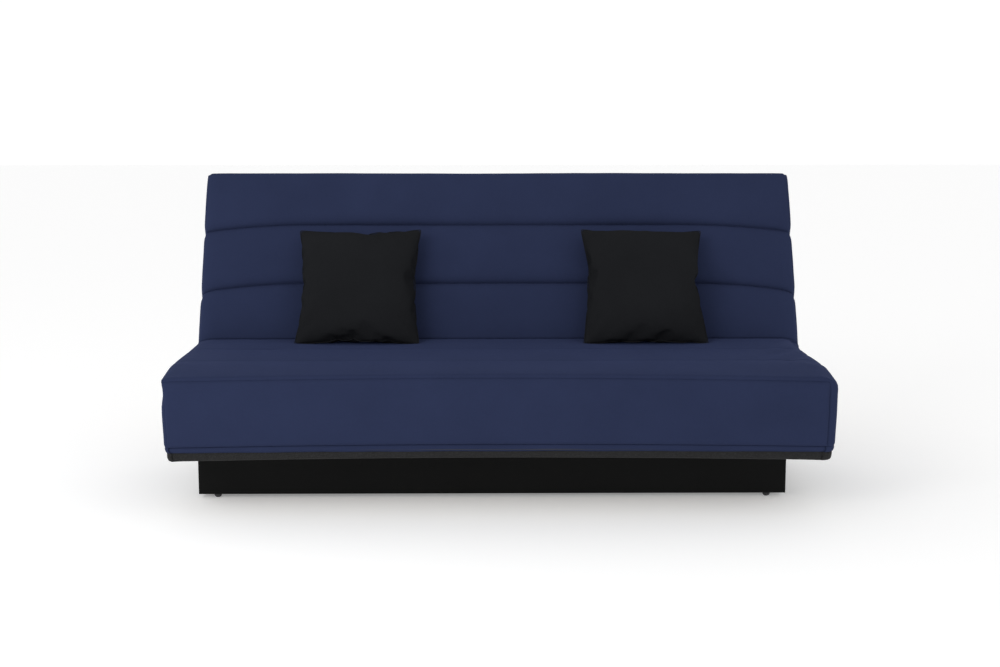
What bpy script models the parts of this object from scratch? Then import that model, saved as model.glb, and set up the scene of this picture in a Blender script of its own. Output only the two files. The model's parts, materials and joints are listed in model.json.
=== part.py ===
"""Click-clack sofa bed: storage box, seat and back frames with slats, folding mattress, cushions."""
import math

import bmesh
import bpy
from mathutils import Vector

MM = 0.001

# Overall proportions. Each half is drawn in its own (x, out, up) frame with the hinge at 0, 0:
# "out" runs from the hinge to the free edge, "up" from the slats towards the sleeping surface.
WIDTH = 1.920
SEAT_LENGTH = 0.655
BACK_LENGTH = 0.640
SEAT_TOP = 0.415
BACK_TILT = math.radians(30.0)
HINGE_BELOW_TOP = 0.0755
CLEARANCE = 0.3 * MM
# The cover sits a little to one side of the steelwork and the box.
BASE_X = -0.020

# Quilted cover and foam.
COVER_THICKNESS = 4.0 * MM
CHANNEL_CROWN = 6.0 * MM
CHANNELS = 3
CROWN_STEPS = 6
EDGE_RADIUS = 0.030
END_RADIUS = 0.022
ROUND_STEPS = 5
HEM_DROP = 0.024
HEM_LIP = 0.034
HEM_THICKNESS = 3.0 * MM
MATTRESS_BOTTOM_UP = -0.0900

# Steel frames: inward-facing channel, bent into a rectangle.
FRAME_SIDE_INSET = 0.080
FRAME_HEIGHT = 0.040
FRAME_FLANGE = 0.030
FRAME_WALL = 2.0 * MM
FRAME_START = 0.035
FRAME_SETBACK = 0.012
FRAME_ABOVE_HEM = 9.0 * MM

SLAT_COUNT = 9
SLAT_WIDTH = 0.053
SLAT_THICKNESS = 8.0 * MM
SLAT_BOW = 4.0 * MM
SLAT_HEADROOM = 2.5 * MM
SLAT_END_INSET = 4.0 * MM
SLAT_SIDE_INSET = 0.090
SLAT_STEPS = 8

# Hinge plates, ratchet cam and pawl. The pawl is laid out along and across the line from the
# hinge to its tooth.
ARM_THICKNESS = 5.0 * MM
ARM_REACH = 0.200
ARM_HEEL = 0.045
ARM_EYE_RADIUS = 0.024
CAM_RADIUS = 0.040
CAM_ARC = (60, 252)
CAM_HEEL = 0.040
NOTCH_DEPTH = 6.0 * MM
NOTCH_HALF_ANGLE = 7.0
HALF_RECLINE = 30.0
BOLT_RADIUS = 5.0 * MM
BOLT_HEAD_RADIUS = 9.0 * MM
BOLT_HEAD = 5.0 * MM
PAWL_ANGLE = math.radians(200.0)
PAWL_RELEASE = 1.0 * MM
PAWL_PIVOT_OFFSET = (0.012, 0.045)
PAWL_BOSS_RADIUS = 9.0 * MM
PAWL_TOOTH_HALF = 1.8 * MM
PAWL_TOOTH_LENGTH = 7.0 * MM
PAWL_DEPTH = 0.015
PAWL_PIN_RADIUS = 4.0 * MM
SLOT_SIDE = (0.014, 0.029)
SLOT_MARGIN = (0.015, 0.012)

# Storage box, which stands under the seat.
BOX_SIDE_INSET = 5.0 * MM
BOX_SETBACK = 0.220
PANEL = 0.016
BOX_BOTTOM = 0.012
BOX_BELOW_FRAME = 0.015
REAR_PANEL_DROP = 0.015
FLOOR_PANEL = 3.0 * MM
PANEL_BEVEL = 1.0 * MM
REST_PAD_LENGTH = 0.060
REST_PAD_FROM_FRONT = 0.085

# Skids, hinge posts and glides.
SKID_HEIGHT = 0.025
SKID_WALL = 1.5 * MM
SKID_AHEAD_OF_HINGE = 0.195
SKID_BEHIND_HINGE = 0.270
POST_THICKNESS = 6.0 * MM
POST_FOOT = 0.080
POST_EYE_RADIUS = 0.024
GLIDE_RADIUS = 0.0118
GLIDE_TIP = 0.35
GLIDE_FROM_BOX_END = 0.055
GLIDE_FROM_SKID_END = 0.025

# Scatter cushions, leaning a little more than the back.
CUSHION_SIZE = 0.396
CUSHION_THICKNESS = 0.140
CUSHION_WAIST = 0.016
CUSHION_FILL = 0.42
CUSHION_STEPS = 14
CUSHION_EDGE = 3.0 * MM
CUSHION_LEAN = math.radians(4.5)
CUSHION_STANDOFF = 4.0 * MM
CUSHION_X = {"left": -0.440, "right": 0.460}

SIDES = {"left": -1.0, "right": 1.0}

# Sizes that follow from the ones above.
TOP_UP = HINGE_BELOW_TOP
CUSHION_LOWER_REACH = CUSHION_SIZE / 2.0 * math.sin(CUSHION_LEAN)
CUSHION_BACK_REACH = CUSHION_THICKNESS / 2.0 * math.cos(CUSHION_LEAN)
CUSHION_UP = TOP_UP + math.hypot(CUSHION_LOWER_REACH, CUSHION_BACK_REACH) + CUSHION_STANDOFF
CUSHION_TILT = BACK_TILT + CUSHION_LEAN
CUSHION_DROP = (CUSHION_SIZE * math.cos(CUSHION_TILT) + CUSHION_EDGE * math.sin(CUSHION_TILT)) / 2.0
CUSHION_OUT = (TOP_UP + CLEARANCE + CUSHION_DROP - CUSHION_UP * math.sin(BACK_TILT)) / math.cos(BACK_TILT)
FRAME_TOP_UP = MATTRESS_BOTTOM_UP - SLAT_THICKNESS - SLAT_BOW - SLAT_HEADROOM
FRAME_LOW_UP = FRAME_TOP_UP - FRAME_HEIGHT
COVER_HEM_UP = FRAME_LOW_UP - FRAME_ABOVE_HEM
HEM_BOTTOM_UP = COVER_HEM_UP - HEM_DROP
TURN = math.pi / 2.0 - BACK_TILT
NOTCH_TURNS = (0.0, HALF_RECLINE, math.degrees(TURN))
CREASE_SLOPE = math.tan((math.pi - TURN) / 2.0)
HINGE_Z = SEAT_TOP - HINGE_BELOW_TOP
BEHIND_HINGE = BACK_LENGTH * math.sin(BACK_TILT) - HEM_BOTTOM_UP * math.cos(BACK_TILT)
HINGE_Y = (SEAT_LENGTH - BEHIND_HINGE) / 2.0
FRONT_Y = HINGE_Y - SEAT_LENGTH
SEAT_FRAME_HALF = WIDTH / 2.0 - FRAME_SIDE_INSET
SEAT_ARM_X = SEAT_FRAME_HALF + CLEARANCE
BACK_FRAME_HALF = SEAT_ARM_X + ARM_THICKNESS
BACK_ARM_X = BACK_FRAME_HALF + CLEARANCE
POST_X = BACK_ARM_X + ARM_THICKNESS + CLEARANCE
BOX_HALF = SEAT_FRAME_HALF - BOX_SIDE_INSET
BOX_TOP = HINGE_Z + FRAME_LOW_UP - BOX_BELOW_FRAME

MATERIALS = {
    "cover": ((0.030, 0.040, 0.082), 0.92, 0.0),
    "hem": ((0.018, 0.018, 0.019), 0.95, 0.0),
    "foam": ((0.62, 0.58, 0.48), 0.95, 0.0),
    "cushion": ((0.013, 0.014, 0.016), 0.90, 0.0),
    "panel": ((0.012, 0.013, 0.014), 0.45, 0.0),
    "slat": ((0.55, 0.38, 0.20), 0.55, 0.0),
    "frame": ((0.020, 0.021, 0.023), 0.40, 0.6),
    "zinc": ((0.52, 0.53, 0.54), 0.35, 1.0),
    "plastic": ((0.015, 0.015, 0.016), 0.50, 0.0),
}


def clear_scene():
    for item in list(bpy.data.objects):
        bpy.data.objects.remove(item, do_unlink=True)


def material_for(name, kind):
    colour, roughness, metallic = MATERIALS[kind]
    material = bpy.data.materials.new(name + "_material")
    material.use_nodes = True
    shader = material.node_tree.nodes["Principled BSDF"]
    shader.inputs["Base Color"].default_value = (*colour, 1.0)
    shader.inputs["Roughness"].default_value = roughness
    shader.inputs["Metallic"].default_value = metallic
    return material


def add_object(name, mesh_builder, kind=None, parent=None, smooth=False):
    """Finish a bmesh into a named object that shares its parent's frame."""
    bmesh.ops.recalc_face_normals(mesh_builder, faces=mesh_builder.faces)
    mesh = bpy.data.meshes.new(name)
    mesh_builder.to_mesh(mesh)
    mesh_builder.free()
    item = bpy.data.objects.new(name, mesh)
    bpy.context.collection.objects.link(item)
    item.parent = parent
    if kind:
        mesh.materials.append(material_for(name, kind))
    if smooth:
        mesh.shade_smooth()
        mesh.set_sharp_from_angle(angle=math.radians(40.0))
    return item


def pivot(name, location, rotation=(0.0, 0.0, 0.0), parent=None):
    empty = bpy.data.objects.new(name, None)
    bpy.context.collection.objects.link(empty)
    empty.parent = parent
    empty.location = location
    empty.rotation_euler = rotation
    return empty


def loft(sections, closed=False):
    """Skin equal loops of points; open lofts get flat ends, closed ones join last to first."""
    builder = bmesh.new()
    loops = [[builder.verts.new(point) for point in section] for section in sections]
    pairs = list(zip(loops, loops[1:]))
    if closed:
        pairs.append((loops[-1], loops[0]))
    else:
        builder.faces.new(loops[0])
        builder.faces.new(list(reversed(loops[-1])))
    for first, second in pairs:
        for index in range(len(first)):
            following = (index + 1) % len(first)
            corners = (first[following], first[index], second[index], second[following])
            builder.faces.new(corners)
    return builder


def prism_x(outline, x_start, x_end):
    """Extrude a (y, z) outline along X."""
    return loft([[(x, y, z) for y, z in outline] for x in (x_start, x_end)])


def box(x_range, y_range, z_range):
    (y0, y1), (z0, z1) = y_range, z_range
    return prism_x([(y0, z0), (y1, z0), (y1, z1), (y0, z1)], *x_range)


def bevelled(item, width, segments=2):
    modifier = item.modifiers.new("Bevel", "BEVEL")
    modifier.width = width
    modifier.segments = segments
    modifier.limit_method = "ANGLE"
    modifier.angle_limit = math.radians(30.0)
    modifier.harden_normals = False
    return item


def apply_boolean(item, cutter, operation="DIFFERENCE"):
    modifier = item.modifiers.new("Boolean_" + cutter.name, "BOOLEAN")
    modifier.operation = operation
    modifier.solver = "EXACT"
    modifier.object = cutter
    cutter.hide_render = True
    cutter.display_type = "WIRE"


def circle(radius, centre=(0.0, 0.0), steps=24, start=0.0, sweep=2.0 * math.pi, closed=True):
    count = steps if closed else steps + 1
    angles = [start + sweep * index / steps for index in range(count)]
    return [(centre[0] + radius * math.cos(a), centre[1] + radius * math.sin(a)) for a in angles]


def hull(points):
    """Convex outline of (y, z) points, counter-clockwise."""
    ordered = sorted(set(points))

    def chain(sequence):
        kept = []
        for point in sequence:
            while len(kept) > 1 and turn_of(kept[-2], kept[-1], point) <= 0.0:
                kept.pop()
            kept.append(point)
        return kept[:-1]

    return chain(ordered) + chain(list(reversed(ordered)))


def turn_of(first, second, third):
    return ((second[0] - first[0]) * (third[1] - first[1])
            - (second[1] - first[1]) * (third[0] - first[0]))


def lathe_x(profile, steps=24):
    """Turn an (x, radius) profile round the X axis; both ends are flat."""
    sections = []
    for x, radius in profile:
        sections.append([(x, y, z) for y, z in circle(radius, steps=steps)])
    return loft(sections)


def crowned_top(length, offset):
    """Points (out, up) along the quilted top, from the rounded free edge back to the crease."""
    pitch = (length - EDGE_RADIUS) / CHANNELS
    points = []
    for channel in range(CHANNELS):
        for step in range(CROWN_STEPS):
            share = step / CROWN_STEPS
            out = length - EDGE_RADIUS - pitch * (channel + share)
            crown = CHANNEL_CROWN * math.sin(math.pi * share)
            if offset > 0.0:
                crown = 0.0
            if out * CREASE_SLOPE > TOP_UP + CHANNEL_CROWN:
                points.append((out, TOP_UP - CHANNEL_CROWN + crown - offset))
    return points


def half_outline(length, offset, bottom, reach=0.0, slack=0.0):
    """Side profile of one padded half, drawn inwards by offset; reach pushes the hinge side out."""
    corner = (length - EDGE_RADIUS, TOP_UP - CHANNEL_CROWN - EDGE_RADIUS)
    radius = EDGE_RADIUS - offset
    arc = circle(radius, corner, ROUND_STEPS, 0.0, math.pi / 2.0, closed=False)
    top = crowned_top(length, offset)
    top_up = TOP_UP - CHANNEL_CROWN - offset
    crease = top_up / CREASE_SLOPE
    outline = [(length - offset, bottom)] + arc + top[1:]
    directions = [(-1.0, 0.0)]
    directions += [((corner[0] - y) / radius, (corner[1] - z) / radius) for y, z in arc]
    directions += [(0.0, -1.0)] * (len(top) - 1)
    outline += [(crease + slack - reach, top_up), (slack - reach, 0.0), (slack - reach, bottom)]
    directions += [(0.0, -1.0), (0.0, 0.0), (0.0, 0.0)]
    return outline, directions


def padded_half(length, offset, bottom, reach=0.0, slack=0.0):
    """Body of one half with its two ends rounded over."""
    outline, directions = half_outline(length, offset, bottom, reach, slack)
    end = WIDTH / 2.0 - offset
    rounding = END_RADIUS - offset
    sections = []
    for side in (-1.0, 1.0):
        steps = range(ROUND_STEPS + 1)
        ordered = reversed(steps) if side < 0.0 else steps
        for step in ordered:
            angle = math.pi / 2.0 * step / ROUND_STEPS
            x = side * (end - rounding + rounding * math.sin(angle))
            inset = rounding * (1.0 - math.cos(angle))
            section = []
            for (out, up), (along, down) in zip(outline, directions):
                section.append((x, out + along * inset, up + down * inset))
            sections.append(section)
    return loft(sections)


def channel_ring(half_width, out_range):
    """Steel channel bent into a rectangle, its open side facing in."""
    top = FRAME_TOP_UP
    bottom = top - FRAME_HEIGHT
    wall = FRAME_WALL
    section = [(0.0, bottom), (0.0, top), (FRAME_FLANGE, top), (FRAME_FLANGE, top - wall)]
    section += [(wall, top - wall), (wall, bottom + wall)]
    section += [(FRAME_FLANGE, bottom + wall), (FRAME_FLANGE, bottom)]
    corners = []
    for side, end in ((-1, 0), (1, 0), (1, 1), (-1, 1)):
        inward = 1.0 if end == 0 else -1.0
        loop = []
        for inset, up in section:
            loop.append((side * (half_width - inset), out_range[end] + inward * inset, up))
        corners.append(loop)
    return loft(corners, closed=True)


def hem_strip(length):
    """Turned-under band along both ends and the free edge, open at the hinge."""
    outer = COVER_THICKNESS
    top = COVER_HEM_UP - CLEARANCE
    section = [(0.0, HEM_BOTTOM_UP), (0.0, top), (HEM_THICKNESS, top)]
    section += [(HEM_THICKNESS, HEM_BOTTOM_UP + HEM_THICKNESS)]
    section += [(HEM_LIP, HEM_BOTTOM_UP + HEM_THICKNESS), (HEM_LIP, HEM_BOTTOM_UP)]
    half_width = WIDTH / 2.0 - outer / 2.0
    free_edge = length - outer / 2.0
    loops = []
    for side, at_hinge in ((-1, True), (-1, False), (1, False), (1, True)):
        loop = []
        for inset, up in section:
            out = CLEARANCE if at_hinge else free_edge - inset
            loop.append((side * (half_width - inset), out, up))
        loops.append(loop)
    return loft(loops)


def slat(x_centre, out_range):
    """Thin board laid across a frame, bowed slightly upwards."""
    sections = []
    for step in range(SLAT_STEPS + 1):
        share = step / SLAT_STEPS
        out = out_range[0] + (out_range[1] - out_range[0]) * share
        up = FRAME_TOP_UP + CLEARANCE + SLAT_BOW * math.sin(math.pi * share)
        left, right = x_centre - SLAT_WIDTH / 2.0, x_centre + SLAT_WIDTH / 2.0
        top = up + SLAT_THICKNESS
        sections.append([(left, out, up), (right, out, up), (right, out, top), (left, out, top)])
    return loft(sections)


def hinge_slots(parent, prefix):
    """Cutters that leave room for the hinge plates inside each mattress end."""
    cutters = []
    for label, side in SIDES.items():
        inner, outer = SEAT_FRAME_HALF - SLOT_SIDE[0], SEAT_FRAME_HALF + SLOT_SIDE[1]
        near, far = sorted((side * inner, side * outer))
        run = (-0.05, ARM_REACH + SLOT_MARGIN[0])
        heights = (MATTRESS_BOTTOM_UP - 0.02, CAM_RADIUS + SLOT_MARGIN[1])
        shape = box((near, far), run, heights)
        cutters.append(add_object(f"{prefix}_slot_cutter_{label}", shape, parent=parent))
    return cutters


def build_half(prefix, length, frame_half, parent, soft_x):
    """Mattress, cover and hem at soft_x, and the frame and slats, of one half."""
    cover_shape = padded_half(length, 0.0, COVER_HEM_UP, slack=CLEARANCE)
    cover = add_object(f"{prefix}_cover", cover_shape, "cover", parent, smooth=True)
    cover.location.x = soft_x
    pocket_shape = padded_half(length, COVER_THICKNESS, COVER_HEM_UP - 0.02, reach=0.08)
    pocket = add_object(f"{prefix}_pocket_cutter", pocket_shape, parent=parent)
    pocket.location.x = soft_x
    apply_boolean(cover, pocket)

    foam_offset = COVER_THICKNESS + CLEARANCE
    foam_shape = padded_half(length, foam_offset, MATTRESS_BOTTOM_UP, slack=1.0 * MM)
    foam = add_object(f"{prefix}_mattress", foam_shape, "foam", parent, smooth=True)
    foam.location.x = soft_x
    for cutter in hinge_slots(parent, prefix):
        apply_boolean(foam, cutter)

    hem = add_object(f"{prefix}_cover_hem", hem_strip(length), "hem", parent)
    hem.location.x = soft_x

    out_range = (FRAME_START, length - FRAME_SETBACK)
    add_object(f"{prefix}_frame", channel_ring(frame_half, out_range), "frame", parent)

    board_range = (out_range[0] + SLAT_END_INSET, out_range[1] - SLAT_END_INSET)
    span = SEAT_FRAME_HALF - SLAT_SIDE_INSET
    for index in range(SLAT_COUNT):
        x_centre = span * (2.0 * index / (SLAT_COUNT - 1) - 1.0)
        board = slat(x_centre, board_range)
        add_object(f"{prefix}_slat_{index + 1}", board, "slat", parent, smooth=True)


def pierce(item, name, parent, x_range, centre, radius):
    """Cut a round hole along X."""
    builder = prism_x(circle(radius, centre), *x_range)
    apply_boolean(item, add_object(name, builder, parent=parent))


def seat_arm(label, side, parent):
    """Plate that carries the seat frame up to the hinge bolt."""
    feet = [(ARM_HEEL, FRAME_LOW_UP), (ARM_REACH, FRAME_LOW_UP), (ARM_REACH, FRAME_TOP_UP)]
    outline = hull(circle(ARM_EYE_RADIUS) + feet)
    inner, outer = side * SEAT_ARM_X, side * (SEAT_ARM_X + ARM_THICKNESS)
    plate = add_object(f"seat_arm_{label}", prism_x(outline, inner, outer), "zinc", parent)
    span = (side * (SEAT_ARM_X - 0.01), side * (SEAT_ARM_X + ARM_THICKNESS + 0.01))
    bolt_hole = BOLT_RADIUS + CLEARANCE
    pierce(plate, f"seat_arm_hole_cutter_{label}", parent, span, (0.0, 0.0), bolt_hole)
    out, up = pawl_pivot()
    pin_hole = PAWL_PIN_RADIUS + CLEARANCE
    pierce(plate, f"seat_arm_pin_cutter_{label}", parent, span, (-out, up), pin_hole)


def back_arm(label, side, parent):
    """Plate of the back frame with the ratchet cam round the hinge bolt."""
    first = math.degrees(PAWL_ANGLE - TURN)
    notches = [first + turn for turn in NOTCH_TURNS]
    outline = []
    for degree in range(*CAM_ARC, 2):
        gap = min(abs(degree - notch) for notch in notches)
        radius = CAM_RADIUS - (NOTCH_DEPTH if gap < NOTCH_HALF_ANGLE else 0.0)
        angle = math.radians(degree)
        outline.append((radius * math.cos(angle), radius * math.sin(angle)))
    outline += [(CAM_HEEL, FRAME_LOW_UP), (ARM_REACH, FRAME_LOW_UP), (ARM_REACH, FRAME_TOP_UP)]
    inner, outer = side * BACK_ARM_X, side * (BACK_ARM_X + ARM_THICKNESS)
    plate = add_object(f"back_arm_{label}", prism_x(outline, inner, outer), "zinc", parent)
    span = (side * (BACK_ARM_X - 0.01), side * (BACK_ARM_X + ARM_THICKNESS + 0.01))
    bolt_hole = BOLT_RADIUS + CLEARANCE
    pierce(plate, f"back_arm_hole_cutter_{label}", parent, span, (0.0, 0.0), bolt_hole)


def pawl_axes():
    radial = Vector((math.cos(PAWL_ANGLE), math.sin(PAWL_ANGLE)))
    return radial, Vector((-radial.y, radial.x))


def pawl_pivot():
    """World (y, z) offset of the pawl pin from the hinge."""
    radial, across = pawl_axes()
    reach = CAM_RADIUS + PAWL_RELEASE + PAWL_PIVOT_OFFSET[0]
    point = radial * reach + across * PAWL_PIVOT_OFFSET[1]
    return point.x, point.y


def pawl(label, side, base):
    """Tooth lever beside the cam, drawn just clear of its notch."""
    radial, across = pawl_axes()
    centre = (PAWL_PIVOT_OFFSET[0], PAWL_PIVOT_OFFSET[1])
    tooth = PAWL_TOOTH_HALF
    shape = [(0.0, -tooth), (0.0, tooth), (PAWL_TOOTH_LENGTH, tooth + 1.0 * MM)]
    arc = circle(PAWL_BOSS_RADIUS, centre, 10, math.pi, -math.pi * 1.05, closed=False)
    shape += arc + [(PAWL_DEPTH, -tooth - 1.0 * MM)]
    origin = Vector(pawl_pivot())
    outline = []
    for along, sideways in shape:
        distance = CAM_RADIUS + PAWL_RELEASE + along
        point = radial * distance + across * sideways - origin
        outline.append((point.x, point.y))
    inner, outer = side * BACK_ARM_X, side * (BACK_ARM_X + ARM_THICKNESS)
    lever = add_object(f"pawl_{label}", prism_x(outline, inner, outer), "zinc", base)
    lever.location = (0.0, HINGE_Y + origin.x, HINGE_Z + origin.y)
    pin_shape = prism_x(circle(PAWL_PIN_RADIUS), side * SEAT_ARM_X, side * (BACK_ARM_X + 2.0 * MM))
    pin = add_object(f"pawl_pin_{label}_tool", pin_shape, parent=base)
    pin.location = lever.location
    apply_boolean(lever, pin, "UNION")


def panel(name, parent, x_range, y_range, z_range):
    board = add_object(name, box(x_range, y_range, z_range), "panel", parent)
    return bevelled(board, PANEL_BEVEL)


def build_box(base):
    """Five boards of the bedding box."""
    front = FRONT_Y + BOX_SETBACK
    rear = HINGE_Y - PANEL
    inside = front + PANEL + CLEARANCE
    full = (-BOX_HALF, BOX_HALF)
    panel("box_front_panel", base, full, (front, front + PANEL), (BOX_BOTTOM, BOX_TOP))
    rear_heights = (BOX_BOTTOM, BOX_TOP - REAR_PANEL_DROP)
    panel("box_rear_panel", base, full, (rear, rear + PANEL), rear_heights)
    run = (inside, rear - CLEARANCE)
    for label, side in SIDES.items():
        xs = sorted((side * (BOX_HALF - PANEL), side * BOX_HALF))
        panel(f"box_end_panel_{label}", base, tuple(xs), run, (BOX_BOTTOM, BOX_TOP))
        pad_start = inside + REST_PAD_FROM_FRONT
        pad_run = (pad_start, pad_start + REST_PAD_LENGTH)
        top = HINGE_Z + FRAME_LOW_UP - CLEARANCE
        pad_shape = box(tuple(xs), pad_run, (BOX_TOP + CLEARANCE, top))
        pad = add_object(f"rest_pad_{label}", pad_shape, "plastic", base)
        bevelled(pad, PANEL_BEVEL)
    reach = BOX_HALF - PANEL - CLEARANCE
    heights = (BOX_BOTTOM, BOX_BOTTOM + FLOOR_PANEL)
    add_object("box_floor_panel", box((-reach, reach), run, heights), "panel", base)


def glide(name, parent, x, y):
    """Domed plastic foot."""
    top = BOX_BOTTOM - CLEARANCE
    rings = 6
    sections = []
    for step in range(rings + 1):
        angle = math.pi / 2.0 * step / rings
        radius = GLIDE_RADIUS * (GLIDE_TIP + (1.0 - GLIDE_TIP) * math.sin(angle))
        z = top * (1.0 - math.cos(angle))
        sections.append([(x + dx, y + dy, z) for dx, dy in circle(radius, steps=20)])
    add_object(name, loft(sections), "plastic", parent, smooth=True)


def build_supports(base):
    """Skids, hinge posts, bolts and glides."""
    skid_inner = BOX_HALF + CLEARANCE
    skid_outer = POST_X - CLEARANCE
    rear = HINGE_Y + SKID_BEHIND_HINGE
    front = HINGE_Y - SKID_AHEAD_OF_HINGE
    for label, side in SIDES.items():
        centre = side * (skid_inner + skid_outer) / 2.0
        half, tall = (skid_outer - skid_inner) / 2.0, SKID_HEIGHT
        xs = (centre - half, centre + half)
        shape = box(xs, (front, rear), (BOX_BOTTOM, BOX_BOTTOM + tall))
        skid = add_object(f"skid_{label}", shape, "frame", base)
        wall = SKID_WALL
        bore_x = (xs[0] + wall, xs[1] - wall)
        bore_z = (BOX_BOTTOM + wall, BOX_BOTTOM + tall - wall)
        bore = box(bore_x, (front - 0.01, rear + 0.01), bore_z)
        apply_boolean(skid, add_object(f"skid_bore_cutter_{label}", bore, parent=base))

        foot = POST_FOOT / 2.0
        low = BOX_BOTTOM - HINGE_Z
        ear = circle(PAWL_BOSS_RADIUS, pawl_pivot())
        outline = hull(circle(POST_EYE_RADIUS) + ear + [(-foot, low), (foot, low)])
        inner, outer = side * POST_X, side * (POST_X + POST_THICKNESS)
        post_shape = prism_x(outline, inner, outer)
        post = add_object(f"hinge_post_{label}", post_shape, "frame", base)
        post.location = (0.0, HINGE_Y, HINGE_Z)
        hole = prism_x(circle(BOLT_RADIUS + CLEARANCE), inner - side * 0.01, outer + side * 0.01)
        cutter = add_object(f"hinge_post_hole_cutter_{label}", hole, parent=base)
        cutter.location = post.location
        apply_boolean(post, cutter)

        start, end = SEAT_ARM_X - CLEARANCE, POST_X + POST_THICKNESS + CLEARANCE
        profile = [(start - BOLT_HEAD, BOLT_HEAD_RADIUS), (start, BOLT_HEAD_RADIUS)]
        profile += [(start, BOLT_RADIUS), (end, BOLT_RADIUS)]
        profile += [(end, BOLT_HEAD_RADIUS), (end + BOLT_HEAD, BOLT_HEAD_RADIUS)]
        bolt_shape = lathe_x([(side * x, radius) for x, radius in profile])
        bolt = add_object(f"hinge_bolt_{label}", bolt_shape, "zinc", base, smooth=True)
        bolt.location = (0.0, HINGE_Y, HINGE_Z)

        glide_x = side * (BOX_HALF - GLIDE_FROM_BOX_END)
        glide(f"glide_front_{label}", base, glide_x, FRONT_Y + BOX_SETBACK + PANEL)
        glide(f"glide_rear_{label}", base, centre, rear - GLIDE_FROM_SKID_END)


def cushion(label, parent):
    """Square scatter cushion, full in the middle and pinched at its corners."""
    builder = bmesh.new()
    steps = CUSHION_STEPS
    half = CUSHION_SIZE / 2.0
    layers = []
    for face in (1.0, -1.0):
        rows = []
        for row in range(steps + 1):
            line = []
            for column in range(steps + 1):
                a = math.sin(math.pi / 2.0 * (2.0 * column / steps - 1.0))
                b = math.sin(math.pi / 2.0 * (2.0 * row / steps - 1.0))
                x = half * a - CUSHION_WAIST * a * (1.0 - b * b)
                y = half * b - CUSHION_WAIST * b * (1.0 - a * a)
                fill = max(0.0, (1.0 - a * a) * (1.0 - b * b)) ** CUSHION_FILL
                z = face * (CUSHION_EDGE / 2.0 + (CUSHION_THICKNESS - CUSHION_EDGE) / 2.0 * fill)
                line.append(builder.verts.new((x, y, z)))
            rows.append(line)
        layers.append(rows)
    for rows in layers:
        for row in range(steps):
            for column in range(steps):
                corners = (rows[row][column], rows[row][column + 1])
                corners += (rows[row + 1][column + 1], rows[row + 1][column])
                builder.faces.new(corners)
    upper, lower = layers
    rim = [(0, column) for column in range(steps)]
    rim += [(row, steps) for row in range(steps)]
    rim += [(steps, steps - column) for column in range(steps)]
    rim += [(steps - row, 0) for row in range(steps)]
    for (row, column), (next_row, next_column) in zip(rim, rim[1:] + rim[:1]):
        corners = (upper[row][column], upper[next_row][next_column])
        corners += (lower[next_row][next_column], lower[row][column])
        builder.faces.new(corners)
    item = add_object(f"cushion_{label}", builder, "cushion", parent, smooth=True)
    item.location = (CUSHION_X[label] - BASE_X, CUSHION_OUT, CUSHION_UP)
    item.rotation_euler = (-CUSHION_LEAN, 0.0, 0.0)


def main():
    clear_scene()
    base = pivot("base_frame", (BASE_X, 0.0, 0.0))
    build_box(base)
    build_supports(base)
    seat_pivot = pivot("seat_pivot", (BASE_X, HINGE_Y, HINGE_Z), (0.0, 0.0, math.pi))
    back_pivot = pivot("back_pivot", (BASE_X, HINGE_Y, HINGE_Z), (TURN, 0.0, 0.0))
    build_half("seat", SEAT_LENGTH, SEAT_FRAME_HALF, seat_pivot, BASE_X)
    build_half("back", BACK_LENGTH, BACK_FRAME_HALF, back_pivot, -BASE_X)
    for label, side in SIDES.items():
        seat_arm(label, -side, seat_pivot)
        back_arm(label, side, back_pivot)
        pawl(label, side, base)
        cushion(label, back_pivot)


main()
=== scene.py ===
"""Looks of the click-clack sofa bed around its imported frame."""
import json
import math

import bmesh
import bpy
from mathutils import Matrix, Vector, noise


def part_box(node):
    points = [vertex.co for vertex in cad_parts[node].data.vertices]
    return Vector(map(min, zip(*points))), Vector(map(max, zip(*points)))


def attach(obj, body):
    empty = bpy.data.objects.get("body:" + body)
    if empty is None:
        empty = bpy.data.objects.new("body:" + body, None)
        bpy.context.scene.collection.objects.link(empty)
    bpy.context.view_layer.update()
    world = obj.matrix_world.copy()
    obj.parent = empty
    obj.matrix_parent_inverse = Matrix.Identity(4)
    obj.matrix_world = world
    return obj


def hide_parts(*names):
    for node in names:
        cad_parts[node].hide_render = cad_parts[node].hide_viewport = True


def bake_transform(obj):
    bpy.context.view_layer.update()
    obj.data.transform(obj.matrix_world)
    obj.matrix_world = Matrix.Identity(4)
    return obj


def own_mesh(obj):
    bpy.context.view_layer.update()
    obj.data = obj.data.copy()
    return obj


MM = 0.001

# Sizes shared with the frame. Each half is drawn in (x, out, up) with the hinge at 0, 0.
SEAT_LENGTH = 0.655
BACK_LENGTH = 0.640
SEAT_TOP = 0.415
BACK_TILT = math.radians(30.0)
TOP_UP = 0.0755
HALF_WIDTH = 0.960
MATTRESS_BOTTOM_UP = -0.0900
FRAME_TOP_UP = -0.1045
FRAME_LOW_UP = -0.1445
COVER_HEM_UP = -0.1535
HEM_BOTTOM_UP = -0.1775
BASE_X = -0.020
SEAT_FRAME_HALF = 0.880
SLAT_SPAN = 0.790
SLATS = 9
ARM_REACH = 0.200
CAM_RADIUS = 0.040
HINGE_Z = SEAT_TOP - TOP_UP
HINGE_Y = (SEAT_LENGTH - BACK_LENGTH * math.sin(BACK_TILT) + HEM_BOTTOM_UP * math.cos(BACK_TILT)) / 2.0
FRONT_Y = HINGE_Y - SEAT_LENGTH
FOLD_SLOPE = math.tan(math.pi / 4.0 + BACK_TILT / 2.0)
RECLINE = math.pi / 2.0 - BACK_TILT

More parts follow.
